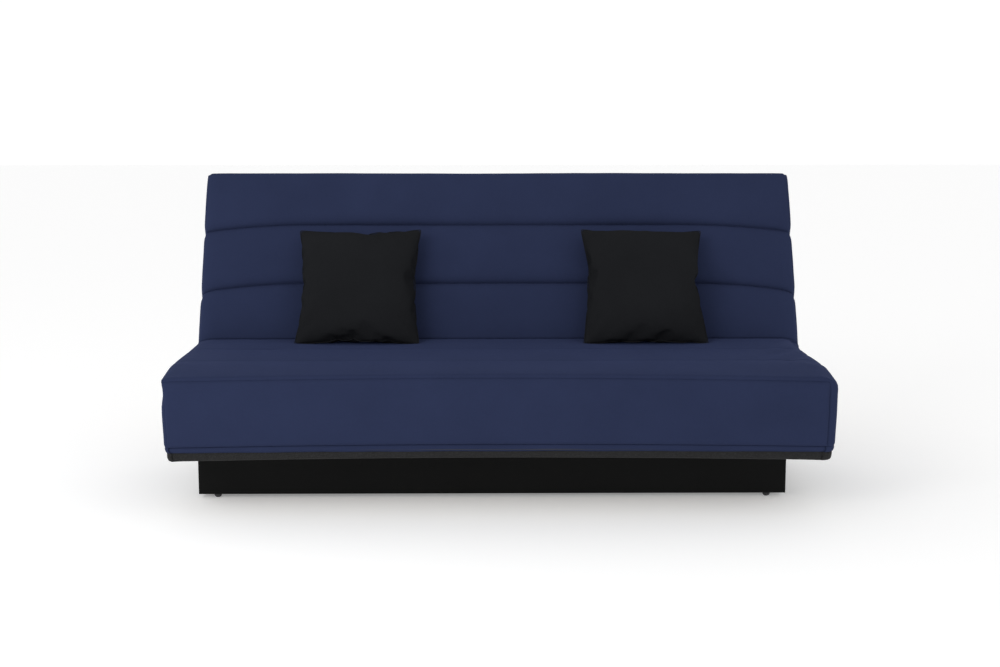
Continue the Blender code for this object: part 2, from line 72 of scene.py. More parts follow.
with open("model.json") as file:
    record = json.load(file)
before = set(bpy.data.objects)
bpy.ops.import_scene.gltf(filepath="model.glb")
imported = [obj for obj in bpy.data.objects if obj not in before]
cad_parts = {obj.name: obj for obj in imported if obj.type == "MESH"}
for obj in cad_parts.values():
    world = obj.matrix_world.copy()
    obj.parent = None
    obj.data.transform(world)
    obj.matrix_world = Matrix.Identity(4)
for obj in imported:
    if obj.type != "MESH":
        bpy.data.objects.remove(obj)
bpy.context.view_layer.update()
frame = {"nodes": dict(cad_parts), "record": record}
nodes = frame["nodes"]


# ---------------------------------------------------------------- small tools
def clamp(value, low=0.0, high=1.0):
    return max(low, min(high, value))


def smooth(value, low=0.0, high=1.0):
    t = clamp((value - low) / (high - low))
    return t * t * (3.0 - 2.0 * t)


def mix(a, b, t):
    return a + (b - a) * t


def ripple(x, y, z=0.0, seed=0.0):
    return noise.noise(Vector((x + seed * 13.7, y - seed * 7.3, z + seed * 3.1)))


def fold_up(x):
    """Height of the cover where it tucks into the crease; it drops away at the two ends."""
    return FOLD_EDGE_UP - FOLD_END_DROP * (1.0 - swell(0.955 - abs(x), 0.060))


def swell(distance, reach):
    """Quarter-round rise of stuffed fabric away from a seam: 0 on the seam, 1 past reach."""
    t = clamp(distance / reach)
    return math.sqrt(max(0.0, 1.0 - (1.0 - t) ** 2))


def stitch_pinch(distance, width=0.0026):
    """Narrow valley that the thread pulls into the cloth along a seam."""
    return math.exp(-(distance / width) ** 2)


def clustered(start, end, steps):
    """Values from start to end, closer together near both."""
    return [mix(start, end, 0.5 - 0.5 * math.cos(math.pi * i / steps)) for i in range(steps + 1)]


def seat_place(x, out, up):
    return Vector((x, HINGE_Y - out, HINGE_Z + up))


def back_place(x, out, up):
    sine, cosine = math.sin(BACK_TILT), math.cos(BACK_TILT)
    return Vector((x, HINGE_Y + out * sine - up * cosine, HINGE_Z + out * cosine + up * sine))


def mesh_object(name, points, faces, smooth_shading=True, angle=None):
    mesh = bpy.data.meshes.new(name)
    mesh.from_pydata([tuple(p) for p in points], [], faces)
    mesh.validate()
    item = bpy.data.objects.new(name, mesh)
    bpy.context.scene.collection.objects.link(item)
    if smooth_shading:
        mesh.shade_smooth()
    if angle is not None:
        mesh.set_sharp_from_angle(angle=math.radians(angle))
    return item


def weld_and_face_out(item, distance=1e-6):
    builder = bmesh.new()
    builder.from_mesh(item.data)
    bmesh.ops.remove_doubles(builder, verts=builder.verts, dist=distance)
    bmesh.ops.recalc_face_normals(builder, faces=builder.faces)
    builder.to_mesh(item.data)
    builder.free()
    return item


def grid_faces(rows, columns, start=0, flip=False):
    faces = []
    for r in range(rows - 1):
        for c in range(columns - 1):
            a = start + r * columns + c
            quad = (a, a + 1, a + columns + 1, a + columns)
            faces.append(quad[::-1] if flip else quad)
    return faces


def tube_faces(count, rings):
    """Quads that join a run of rings, each of count points."""
    faces = []
    for start in range(0, (rings - 1) * count, count):
        for k in range(count):
            a, b = start + k, start + (k + 1) % count
            faces.append((a, b, b + count, a + count))
    return faces


def apply_modifiers(item):
    graph = bpy.context.evaluated_depsgraph_get()
    mesh = bpy.data.meshes.new_from_object(item.evaluated_get(graph))
    item.modifiers.clear()
    item.data = mesh


def thicken(item, thickness):
    shell = item.modifiers.new("Solidify", "SOLIDIFY")
    shell.thickness = thickness
    shell.offset = -1.0
    apply_modifiers(item)


def subdivide(item):
    soften = item.modifiers.new("Smooth", "SUBSURF")
    soften.levels = soften.render_levels = 1
    apply_modifiers(item)


# ---------------------------------------------------------------- materials
class Nodes:
    """A material's node tree, with short calls for the nodes used here."""

    def __init__(self, name):
        self.material = bpy.data.materials.new(name)
        self.material.use_nodes = True
        self.tree = self.material.node_tree
        self.shader = self.tree.nodes["Principled BSDF"]
        self.coordinate = self.tree.nodes.new("ShaderNodeTexCoord").outputs["Object"]

    def link(self, source, target):
        self.tree.links.new(source, target)

    def mapped(self, scale, rotation=(0.0, 0.0, 0.0)):
        node = self.tree.nodes.new("ShaderNodeMapping")
        node.inputs["Scale"].default_value = scale
        node.inputs["Rotation"].default_value = rotation
        self.link(self.coordinate, node.inputs["Vector"])
        return node.outputs["Vector"]

    def noise(self, scale, detail=3.0, roughness=0.55, vector=None, distortion=0.0):
        node = self.tree.nodes.new("ShaderNodeTexNoise")
        node.inputs["Scale"].default_value = scale
        node.inputs["Detail"].default_value = detail
        node.inputs["Roughness"].default_value = roughness
        node.inputs["Distortion"].default_value = distortion
        self.link(vector or self.coordinate, node.inputs["Vector"])
        return node.outputs["Fac"]

    def wave(self, scale, axis, vector=None, distortion=0.0, detail=0.0):
        node = self.tree.nodes.new("ShaderNodeTexWave")
        node.bands_direction = axis
        node.inputs["Scale"].default_value = scale
        node.inputs["Distortion"].default_value = distortion
        node.inputs["Detail"].default_value = detail
        self.link(vector or self.coordinate, node.inputs["Vector"])
        return node.outputs["Fac"]

    def math(self, operation, first, second):
        node = self.tree.nodes.new("ShaderNodeMath")
        node.operation = operation
        for socket, value in zip(node.inputs, (first, second)):
            if isinstance(value, (int, float)):
                socket.default_value = value
            else:
                self.link(value, socket)
        return node.outputs["Value"]

    def weighted(self, first, share, second, other):
        """first and second, added in the given shares."""
        return self.math("ADD", self.math("MULTIPLY", first, share), self.math("MULTIPLY", second, other))

    def cells(self, scale):
        node = self.tree.nodes.new("ShaderNodeTexVoronoi")
        node.inputs["Scale"].default_value = scale
        self.link(self.coordinate, node.inputs["Vector"])
        return node.outputs["Distance"]

    def ramp(self, value, stops):
        node = self.tree.nodes.new("ShaderNodeValToRGB")
        elements = node.color_ramp.elements
        while len(elements) < len(stops):
            elements.new(0.5)
        for element, (position, colour) in zip(elements, stops):
            element.position = position
            element.color = (*colour, 1.0)
        self.link(value, node.inputs["Fac"])
        return node.outputs["Color"]

    def spread(self, value, low, high):
        node = self.tree.nodes.new("ShaderNodeMapRange")
        node.inputs["To Min"].default_value = low
        node.inputs["To Max"].default_value = high
        self.link(value, node.inputs["Value"])
        return node.outputs["Result"]

    def bump(self, height, distance, strength=1.0, under=None):
        node = self.tree.nodes.new("ShaderNodeBump")
        node.inputs["Strength"].default_value = strength
        node.inputs["Distance"].default_value = distance
        self.link(height, node.inputs["Height"])
        if under is not None:
            self.link(under, node.inputs["Normal"])
        return node.outputs["Normal"]

    def set(self, **values):
        for key, value in values.items():
            self.shader.inputs[key.replace("_", " ")].default_value = value

    def to(self, **sources):
        for key, source in sources.items():
            self.link(source, self.shader.inputs[key.replace("_", " ")])


def shade(colour, factor):
    return tuple(channel * factor for channel in colour)


def cloth_material(name, colour, pitch=0.0016, sheen=0.10, mottle=0.10, nap=0.25):
    """Fine plain weave with a soft nap: thread rows both ways, uneven dye and light fuzz."""
    n = Nodes(name)
    frequency = 0.5 / pitch
    across = n.wave(frequency, "DIAGONAL", n.mapped((1.0, 1.0, 1.0)), 0.6, 1.0)
    along = n.wave(frequency, "X", n.mapped((1.0, 1.0, 1.0), (0.4, 0.3, 0.9)), 0.6, 1.0)
    weave = n.math("MULTIPLY", across, along)
    cloud = n.noise(5.0, 4.0, 0.6)
    fuzz = n.noise(900.0, 2.0, 0.7)
    fleck = n.noise(240.0, 3.0, 0.65)
    tone = n.weighted(cloud, 0.55, fleck, 0.45)
    light, dark = shade(colour, 1.0 + mottle), shade(colour, 1.0 - mottle)
    n.to(Base_Color=n.ramp(tone, [(0.30, dark), (0.52, colour), (0.72, light)]))
    n.to(Roughness=n.spread(fleck, 0.82, 0.98))
    height = n.weighted(weave, 0.7, fuzz, nap)
    fine = n.bump(height, 0.25 * MM, 0.55)
    n.to(Normal=n.bump(n.noise(26.0, 3.0, 0.5), 0.8 * MM, 0.35, fine))
    n.set(Sheen_Weight=sheen, Sheen_Roughness=0.45, Specular_IOR_Level=0.03)
    n.shader.inputs["Sheen Tint"].default_value = (*[min(1.0, 9.0 * c) for c in colour], 1.0)
    return n.material


def nonwoven_material(name, colour):
    """Pressed polypropylene: small bonded points over a fibrous base."""
    n = Nodes(name)
    cells = n.cells(330.0)
    fibres = n.noise(420.0, 4.0, 0.75, n.mapped((1.0, 3.0, 1.6)))
    tone = n.weighted(cells, 0.6, fibres, 0.5)
    n.to(Base_Color=n.ramp(tone, [(0.25, shade(colour, 0.55)), (0.75, shade(colour, 1.7))]))
    n.to(Roughness=n.spread(fibres, 0.7, 0.95))
    n.to(Normal=n.bump(tone, 0.5 * MM, 0.8))
    n.set(Sheen_Weight=0.03, Specular_IOR_Level=0.12)
    return n.material


def wood_material(name, colour):
    n = Nodes(name)
    grain = n.noise(9.0, 6.0, 0.6, n.mapped((14.0, 1.2, 1.2)), 0.4)
    rings = n.wave(26.0, "X", n.mapped((1.0, 0.10, 0.10)), 5.0, 3.0)
    pores = n.noise(220.0, 3.0, 0.6, n.mapped((1.0, 0.07, 0.07)))
    tone = n.weighted(grain, 0.6, rings, 0.4)
    n.to(Base_Color=n.ramp(tone, [(0.25, shade(colour, 0.72)), (0.55, colour), (0.85, shade(colour, 1.18))]))
    n.to(Roughness=n.spread(pores, 0.42, 0.68))
    n.to(Normal=n.bump(pores, 0.15 * MM, 0.5))
    n.set(Specular_IOR_Level=0.45)
    return n.material


def painted_material(name, colour, metallic):
    """Powder coat: a pebbled skin with faint rubbing."""
    n = Nodes(name)
    pebble = n.noise(700.0, 2.0, 0.5)
    rub = n.noise(14.0, 5.0, 0.65)
    n.to(Base_Color=n.ramp(rub, [(0.35, colour), (0.72, shade(colour, 1.7)), (0.9, shade(colour, 2.6))]))
    n.to(Roughness=n.spread(rub, 0.34, 0.52))
    n.to(Normal=n.bump(pebble, 0.2 * MM, 0.35))
    n.set(Metallic=metallic, Specular_IOR_Level=0.5)
    return n.material


def zinc_material(name, colour):
    """Zinc plate: bright and dull patches with drawn scratches."""
    n = Nodes(name)
    spangle = n.cells(120.0)
    streaks = n.noise(60.0, 4.0, 0.7, n.mapped((1.0, 12.0, 1.0)))
    tone = n.weighted(spangle, 0.5, streaks, 0.5)
    n.to(Base_Color=n.ramp(tone, [(0.2, shade(colour, 0.7)), (0.6, colour), (0.9, shade(colour, 1.25))]))
    n.to(Roughness=n.spread(streaks, 0.26, 0.50))
    n.to(Normal=n.bump(streaks, 0.08 * MM, 0.4))
    n.set(Metallic=1.0)
    return n.material


def board_material(name, colour):
    """Melamine-faced board with a fine pressed wood pore."""
    n = Nodes(name)
    pore = n.noise(160.0, 4.0, 0.6, n.mapped((0.12, 2.0, 2.4)))
    cloud = n.noise(3.0, 3.0, 0.5)
    n.to(Base_Color=n.ramp(cloud, [(0.3, shade(colour, 0.85)), (0.7, shade(colour, 1.25))]))
    n.to(Roughness=n.spread(pore, 0.40, 0.62))
    n.to(Normal=n.bump(pore, 0.12 * MM, 0.5))
    n.set(Specular_IOR_Level=0.10)
    return n.material


def plastic_material(name, colour):
    n = Nodes(name)
    grain = n.noise(1300.0, 2.0, 0.5)
    scuff = n.noise(30.0, 5.0, 0.7)
    n.to(Base_Color=n.ramp(scuff, [(0.35, colour), (0.8, shade(colour, 1.6))]))
    n.to(Roughness=n.spread(scuff, 0.42, 0.62))
    n.to(Normal=n.bump(grain, 0.1 * MM, 0.4))
    n.set(Specular_IOR_Level=0.5)
    return n.material


NAVY = (0.0222, 0.0298, 0.0692)
INK = (0.0122, 0.0128, 0.0144)
NAVY_CLOTH = cloth_material("navy_microfibre", NAVY)
NONWOVEN = nonwoven_material("black_nonwoven", (0.0145, 0.0145, 0.015))
INK_CLOTH = cloth_material("black_microfibre", INK, sheen=0.03, mottle=0.15)
TICKING = cloth_material("cream_ticking", (0.56, 0.52, 0.43), pitch=0.0024, sheen=0.1, mottle=0.08)
BEECH = wood_material("beech_ply", (0.50, 0.33, 0.17))
POWDER = painted_material("black_powder_coat", (0.014, 0.0145, 0.016), 0.2)
ZINC = zinc_material("zinc_plate", (0.50, 0.51, 0.53))
BOARD = board_material("black_melamine", (0.0022, 0.0024, 0.0024))
PLASTIC = plastic_material("black_plastic", (0.013, 0.013, 0.014))

LOOKS = {"slat": BEECH, "frame": POWDER, "zinc": ZINC, "panel": BOARD, "plastic": PLASTIC}


def give(item, material):
    item.data.materials.clear()
    item.data.materials.append(material)
    return item


slot_of = {entry["node"]: entry["material_slot"] for entry in frame["record"]["subparts"]}
for node_name, node in nodes.items():
    look = LOOKS.get(slot_of[node_name])
    if look:
        for index in range(len(node.material_slots)):
            node.material_slots[index].material = look

# ---------------------------------------------------------------- quilted halves
CHANNEL_STEPS = 20
DROP_STEPS = 18
BAND_STEPS = 5
COLUMN = 0.0075
END_ZONE = 0.070
END_STEPS = 12
CHANNELS = 3
COVER_SHELL = 2.5 * MM
LOWER_SEAM_UP = -0.1275
FOLD_GAP = 3.0 * MM
FOLD_EDGE_UP = 0.0745
FOLD_END_DROP = 0.017
MITRE = 0.040
CUSHION_PLACES = {"left": -0.440, "right": 0.460}


class Half:
    """One quilted half of the cover, as functions of panel coordinates."""

    groove = 1.0
    sag = 0.0
    ends = (-0.950, 0.948)
    bulges = (0.005, 0.007)
    tucks = (0.006, 0.008)
    corner_in = (0.0, 0.0)
    taper = 0.0
    edge_in = 0.004
    face_out = 0.0
    depth = 0.0125
    reaches = (0.080, 0.080)
    seam_shift = (0.0, 0.0)
    slack = (0.0, 0.0)
    hold = 0.8
    lip = 0.0045
    lip_width = 0.0026

    def __init__(self, name, length, place, seed):
        self.name = name
        self.length = length
        self.place = place
        self.seed = seed
        self.free = length - self.edge_in
        self.pitch = (self.free - FOLD_EDGE_UP / FOLD_SLOPE) / CHANNELS
        self.left, self.right = self.ends
        self.seam_up = TOP_UP - 0.009
        middle = [self.left + END_ZONE, self.right - END_ZONE]
        count = int(round((middle[1] - middle[0]) / COLUMN))
        quarter = [1.0 - math.cos(math.pi / 2.0 * i / END_STEPS) for i in range(END_STEPS)]
        self.columns = [mix(self.left, middle[0], q) for q in quarter]
        self.columns += [mix(*middle, i / count) for i in range(count + 1)]
        self.columns += [mix(self.right, middle[1], q) for q in reversed(quarter)]
        self.rows = []
        for channel in range(CHANNELS):
            self.rows += clustered(channel, channel + 1, CHANNEL_STEPS)[(1 if channel else 0):]
        self.drops = clustered(0.0, 1.0, DROP_STEPS)
        self.bands = clustered(0.0, 1.0, BAND_STEPS)

    def fold_at(self, x):
        return fold_up(x) / FOLD_SLOPE + FOLD_GAP

    def pick(self, pair, x):
        return pair[0] if x < 0.0 else pair[1]

    def end_share(self, x):
        """How far into the last stretch of each end, where the channel seams swing down."""
        return clamp((abs(x) - HALF_WIDTH + 0.33) / 0.32) ** 1.8

    def out_at(self, row, x):
        bow, shift = (0.0, 1.0, 0.82, 0.0), (0.0, *self.seam_shift, 0.0)
        index = min(int(row), CHANNELS - 1)
        weight = mix(bow[index], bow[index + 1], smooth(row - index))
        moved = mix(shift[index], shift[index + 1], row - index)
        wander = 0.0012 * ripple(x * 3.0, index * 5.0, seed=self.seed + 30.0)
        out = mix(self.fold_at(x), self.free, row / CHANNELS)
        return out + moved - weight * (self.sag * self.end_share(x) + wander)

    def seam_distance(self, row):
        return abs(row - round(row)) * self.pitch

    def edge_distance(self, x):
        return min(x - self.left, self.right - x)

    def droop(self, x):
        return 0.0

    def lower_seam(self, x):
        """The seam above the hem band hangs lower towards both ends."""
        return LOWER_SEAM_UP - 0.009 * min(1.0, (x / 0.95) ** 2)

    def hem_line(self, x):
        return COVER_HEM_UP + 0.0035 - 0.0050 * min(1.0, (x / 0.95) ** 2)

    def pinch(self, row, reach):
        """1 at a sewn channel seam, falling to 0 either side of it."""
        inner = 0 < round(row) < CHANNELS
        return math.exp(-(self.seam_distance(row) / reach) ** 2) * self.groove if inner else 0.0

    def edge_pull(self, row, x):
        near = clamp(1.0 - self.edge_distance(x) / 0.05)
        inward = 0.0045 * self.pinch(row, 0.014) + self.taper * row / CHANNELS
        return -math.copysign(inward, x) * near

    def top(self, row, x):
        seam, edge = self.seam_distance(row), self.edge_distance(x)
        nearest = round(row)
        ends = swell(edge, 0.040)
        if nearest == 0:
            lift = mix(0.45, 1.0, swell(seam, 0.035))
        elif nearest == CHANNELS:
            lift = 0.45 * swell(seam, 0.009) + 0.55 * swell(seam, 0.100)
        else:
            lift = mix(1.0, swell(seam, self.reaches[0 if row < nearest else 1]), self.groove)
        base = self.seam_up - self.droop(x) * smooth(row, CHANNELS - 0.8, CHANNELS)
        crown = self.depth * lift * mix(0.35, 1.0, ends)
        inside = ends * min(1.0, seam * 25.0)
        crown += 0.0022 * ripple(x * 2.1, row * 0.6, seed=self.seed) * inside
        pucker = ripple(x * 30.0, row * 1.3, seed=self.seed + 2.0)
        pucker += 0.7 * ripple(x * 66.0, row * 2.0, seed=self.seed + 3.0)
        near = math.exp(-((seam - 0.015) / 0.014) ** 2)
        if not 0 < nearest < CHANNELS:
            near *= 0.35
        crown += 0.0009 * pucker * near * ends * self.groove
        tug = ripple(row * 5.0, math.copysign(3.0, x), seed=self.seed + 5.0)
        crown += 0.0018 * tug * math.exp(-((edge - 0.025) / 0.025) ** 2) * ends
        crown += self.wrinkles(row, x) * ends
        up = base + crown
        if nearest:
            up -= (0.0045 if nearest == CHANNELS else 0.0030 * self.groove) * stitch_pinch(seam)
        up -= FOLD_END_DROP * (1.0 - swell(edge, 0.060)) * (1.0 - smooth(row, 0.0, 2.4))
        if row < 0.35:
            up = mix(fold_up(x), up, smooth(row, -0.25, 0.35))
        if row == 0.0:
            up = fold_up(x)
        return x + self.edge_pull(row, x), self.out_at(row, x), up

    def wrinkles(self, row, x):
        return 0.0

    def skirt_height(self, drop, x):
        return mix(self.seam_up - self.droop(x), self.lower_seam(x), drop)

    def tuck(self, drop):
        return smooth(drop, 0.45, 1.0)

    def skirt_swell(self, drop, along_edge, reach, hold=0.0):
        """Fullness of a skirt panel between its seams; hold keeps some of it at the lower seam."""
        height = self.seam_up - LOWER_SEAM_UP
        below = mix(hold, 1.0, swell((1.0 - drop) * height, reach * 0.6))
        return swell(drop * height, reach) * below * swell(along_edge, reach)

    def corner_x(self, drop, sign):
        """The upright seam between the face and the end panel."""
        seam = self.left if sign < 0.0 else self.right
        inward = self.pick(self.corner_in, sign) * smooth(drop, 0.0, 0.3)
        inward += self.pick(self.tucks, sign) * self.tuck(drop) + self.taper
        return seam - sign * inward

    def front(self, drop, x):
        up = self.skirt_height(drop, x)
        share = (x - self.left) / (self.right - self.left)
        edge = self.edge_distance(x)
        face_x = mix(self.corner_x(drop, -1.0), self.corner_x(drop, 1.0), share)
        face_x = mix(x + math.copysign(self.taper, -x) * clamp(1 - edge / 0.05), face_x, clamp(drop * 12.0))
        bulge = 0.0050 * self.skirt_swell(drop, edge, 0.010) + 0.0040 * self.skirt_swell(drop, edge, 0.075)
        wave = 0.0020 * ripple(x * 2.4, up * 3.0, seed=self.seed + 7.0)
        wave += 0.0007 * ripple(x * 11.0, up * 5.0, seed=self.seed + 8.0)
        gather = math.exp(-((1.0 - drop) / 0.10) ** 2)
        wave += 0.0007 * ripple(x * 38.0, 0.0, seed=self.seed + 9.0) * gather
        bulge += wave * swell(edge, 0.03) * swell(drop * (1.0 - drop), 0.03)
        width = mix(self.lip_width, 0.0026, drop)
        lip = mix(self.lip, 0.0030, drop) * stitch_pinch(self.skirt_distance(drop), width)
        bulge -= lip + 0.0030 * stitch_pinch(edge)
        return face_x, self.face_out_at(drop) + bulge, up

    def skirt_distance(self, drop):
        return min(drop, 1.0 - drop) * (self.seam_up - LOWER_SEAM_UP)

    def face_out_at(self, drop):
        """Base plane of the free face: it stands out a little under the top seam and draws in lower down."""
        return self.free + self.face_out * smooth(drop, 0.0, 0.2) - 0.0025 * self.tuck(drop)

    def side(self, row, drop, sign):
        seam_x = self.left if sign < 0 else self.right
        if drop == 0.0:
            return self.top(row, seam_x)
        fold = self.fold_at(seam_x)
        share = (self.out_at(row, seam_x) - fold) / (self.free - fold)
        up = mix(self.top(row, seam_x)[2], self.lower_seam(seam_x), drop)
        hinge_edge = FOLD_GAP + max(0.0, up / FOLD_SLOPE)
        free = self.face_out_at(drop)
        out = mix(hinge_edge, free, mix(share, row / CHANNELS, smooth(drop)))
        along = free - out
        depth = self.pick(self.bulges, sign)
        bulge = depth * self.skirt_swell(drop, along, 0.034, self.hold)
        bulge *= mix(1.0, smooth(drop, 0.0, 0.45), self.pick(self.slack, sign))
        bulge *= 1.0 - 0.5 * self.pinch(row, 0.02) * math.exp(-drop * 5.0)
        loose = self.skirt_swell(drop, along, 0.03)
        bulge += 0.0020 * ripple(out * 4.0, up * 5.0, sign, self.seed + 11.0) * loose
        bulge += 0.0010 * ripple(out * 16.0, up * 3.0, sign, self.seed + 12.0) * loose
        bulge -= 0.0020 * stitch_pinch(self.skirt_distance(drop)) + 0.0020 * stitch_pinch(along)
        straight = self.corner_x(drop, sign) + sign * self.taper * (1.0 - row / CHANNELS)
        return straight + sign * bulge + self.side_pull(row, drop, sign), out, up

    def side_pull(self, row, drop, sign):
        """The channel seams' pull on the end panel, fading down the skirt."""
        return -sign * 0.0045 * self.pinch(row, 0.014) * math.exp(-(drop / 0.12) ** 2)

    def skirt_path(self, drop):
        """The skirt at one height, hinge to hinge round the free edge, with mitred outward directions."""

        def end_run(sign, rows):
            spots = [self.side(row, drop, sign) for row in rows]
            return [(p, (sign, clamp(1.0 - (self.face_out_at(drop) - p[1]) / MITRE))) for p in spots]

        path = end_run(-1.0, self.rows)
        for x in self.columns[1:-1]:
            turned = math.copysign(clamp(1.0 - self.edge_distance(x) / MITRE), x)
            path.append((self.front(drop, x), (turned, 1.0)))
        return path + end_run(1.0, self.rows[::-1])

    def lean(self, turned, at_end, at_front):
        """Inward lean that changes from the free face to an end."""
        return mix(at_front, at_end, min(1.0, abs(turned)))

    def band_shift(self, share, turned):
        """How far the hem band stands out from the lower seam."""
        puff = 0.0042 * math.sqrt(math.sin(math.pi * clamp(share * 0.97 + 0.03))) - 0.003 * share - 0.002
        return puff - self.lean(turned, 0.001, 0.003) * share

    def band_wave(self, share, x, out):
        """Unevenness of the hem band, growing towards its lower edge."""
        return 0.0012 * ripple(x * 9.0, out * 9.0, seed=self.seed + 15.0) * share


class SeatHalf(Half):
    groove = 0.13
    ends = (-0.9535, 0.9340)
    bulges = (0.0140, 0.0290)
    tucks = (0.003, 0.002)
    corner_in = (0.0075, 0.0015)
    slack = (1.0, 0.0)
    hold = 0.95
    lip = 0.0085
    lip_width = 0.0042

    def droop(self, x):
        """The sewn front edge hangs a little lower towards both ends, most at the right."""
        return (0.0095 if x < 0.0 else 0.0130) * min(1.0, (x / 0.95) ** 2)

    def wrinkles(self, row, x):
        """Slanting soft folds towards the right end, and one faint crease near the left end."""
        slant = (row * 0.21 - 0.45) * 0.6 + (x - 0.86)
        right = 0.0030 * math.sin(slant * 70.0) * math.exp(-((x - 0.86) / 0.055) ** 2)
        right *= math.exp(-((row - 1.5) / 0.8) ** 2)
        crease = math.exp(-((row - 1.02 - 0.05 * math.sin(x * 9.0)) / 0.035) ** 2)
        left = -0.0016 * crease * smooth(-x, 0.62, 0.72) * smooth(x, -0.95, -0.88)
        out = mix(self.fold_at(x), self.free, row / CHANNELS)
        near = min(abs(x - place) for place in CUSHION_PLACES.values())
        dent = -0.0045 * math.exp(-(near / 0.19) ** 4) * math.exp(-((out - 0.140) / 0.050) ** 2)
        return right + left + dent


class BackHalf(Half):
    ends = (-0.951, 0.955)
    sag = 0.028
    taper = -0.003
    edge_in = 0.012
    face_out = 0.008
    depth = 0.0180
    seam_shift = (-0.004, 0.009)
    reaches = (0.100, 0.036)


def build_cover(half):
    points, faces = [], []

    def add_grid(rows):
        start = len(points)
        for row in rows:
            points.extend(half.place(*p) for p in row)
        faces.extend(grid_faces(len(rows), len(rows[0]), start))

    top = [[half.top(row, x) for x in half.columns] for row in half.rows]
    wall = []
    for share in (0.62, 0.75, 0.88):
        line = []
        for px, out, up in top[0]:
            line.append((px, FOLD_GAP + (out - FOLD_GAP) * share, up * share))
        wall.append(line)
    add_grid(wall + top)
    add_grid([[half.front(drop, x) for x in half.columns] for drop in half.drops])
    for sign in (-1.0, 1.0):
        add_grid([[half.side(row, drop, sign) for row in half.rows] for drop in half.drops])
    rim = half.skirt_path(1.0)
    band = []
    for share in half.bands:
        line = []
        for (x, out, up), (sx, so) in rim:
            wave = half.band_wave(share, x, out)
            down = (half.hem_line(x) - up) * share
            shift = half.band_shift(share, sx)
            line.append((x + sx * shift, out + so * shift, up + down + wave))
        band.append(line)
    add_grid(band)
    cover = mesh_object(f"{half.name}_quilted_cover", points, faces)
    weld_and_face_out(cover, 2e-5)
    thicken(cover, COVER_SHELL)
    give(cover, NAVY_CLOTH)
    return cover


def build_hem(half):
    """Black non-woven strip: a face of 24 mm and a lip turned under the frame."""
    profile = [(0.0, 0.002), (0.0, -0.003), (0.6 * MM, -0.009), (0.4 * MM, -0.016), (-1.5 * MM, -0.0215)]
    profile += [(-0.005, -0.0236), (-0.012, -0.0236), (-0.022, -0.0228), (-0.033, -0.0220)]
    rows = []
    for inset, down in profile:
        line = []
        for (x, out, _), (sx, so) in half.skirt_path(1.0):
            bottom = half.hem_line(x)
            lean = half.lean(sx, 0.001 + 0.002 * clamp(-down / 0.022), 0.004)
            short = max(inset, mix(-0.010, inset, smooth(out, 0.06, 0.12)))
            wave = 0.0012 * ripple(x * 15.0, out * 15.0, seed=half.seed + 21.0) * clamp(-down / 0.012)
            shift = short - 0.0050 - lean + wave
            depth = down * (0.78 + 0.22 * min(1.0, (x / 0.95) ** 2)) if down < 0.0 else down
            line.append((x + sx * shift, out + so * shift, bottom + depth))
        rows.append(line)
    points = [half.place(*p) for row in rows for p in row]
    hem = mesh_object(f"{half.name}_nonwoven_hem", points, grid_faces(len(rows), len(rows[0])))
    thicken(hem, 1.6 * MM)
    give(hem, NONWOVEN)
    return hem


def build_mattress(half):
    """Ticking-covered body under the cover: flat where the slats carry it, easing down between them."""
    inner = 0.006
    far = half.length - 0.028
    top_up, bottom_up, end = 0.050, MATTRESS_BOTTOM_UP, 0.918
    columns = [mix(-end, end, i / 180) for i in range(181)]

    def hang(x, out):
        phase = (x - BASE_X + SLAT_SPAN) / (SLAT_SPAN / 4.0)
        between = 0.5 - 0.5 * math.cos(2.0 * math.pi * phase)
        if abs(x - BASE_X) > SLAT_SPAN:
            between = 0.0
        inside = swell(min(out - inner, far - out), 0.09) * swell(end - abs(x), 0.03)
        sag = -0.0045 * smooth(between, 0.25, 1.0) * inside
        return sag + 0.001 * ripple(x * 7.0, out * 7.0, seed=half.seed + 40.0)

    ring = []
    steps = 9
    corners = [(top_up / FOLD_SLOPE + inner, top_up), (far, top_up), (far, bottom_up)]
    corners += [(inner, bottom_up), (inner, 0.0)]
    for index, start in enumerate(corners):
        stop = corners[(index + 1) % len(corners)]
        ring += [(mix(start[0], stop[0], i / steps), mix(start[1], stop[1], i / steps)) for i in range(steps)]
    points = []
    for x in columns:
        squeeze = 1.0 - 0.05 * (1.0 - swell(end - abs(x), 0.03))
        centre = (far * 0.5, -0.02)
        for out, up in ring:
            o, u = mix(centre[0], out, squeeze), mix(centre[1], up, squeeze)
            if up == bottom_up:
                u += hang(x, out)
            points.append(half.place(x, o, u))
    count = len(ring)
    faces = tube_faces(count, len(columns))
    faces.append(tuple(range(count))[::-1])
    faces.append(tuple(range((len(columns) - 1) * count, len(columns) * count)))
    body = weld_and_face_out(mesh_object(f"{half.name}_mattress_body", points, faces, angle=50.0))
    for sign in (-1.0, 1.0):
        centre = BASE_X + sign * (SEAT_FRAME_HALF + 0.008)
        low, high = (centre - 0.0205, centre + 0.0215)
        cut_box(body, half, (low, high), (-0.05, ARM_REACH + 0.015), (-0.12, CAM_RADIUS + 0.012))
    body.data.set_sharp_from_angle(angle=math.radians(50.0))
    give(body, TICKING)
    return body


def cut_box(body, half, x_range, out_range, up_range):
    corners = [half.place(x, out, up) for x in x_range for out in out_range for up in up_range]
    faces = [(0, 1, 3, 2), (4, 6, 7, 5), (0, 4, 5, 1), (2, 3, 7, 6), (0, 2, 6, 4), (1, 5, 7, 3)]
    cutter = weld_and_face_out(mesh_object("slot_cutter", corners, faces, smooth_shading=False))
    cut = body.modifiers.new("Slot", "BOOLEAN")
    cut.operation = "DIFFERENCE"
    cut.solver = "EXACT"
    cut.object = cutter
    apply_modifiers(body)
    bpy.data.objects.remove(cutter)


seat = SeatHalf("seat", SEAT_LENGTH, seat_place, 1.0)
back = BackHalf("back", BACK_LENGTH, back_place, 4.0)

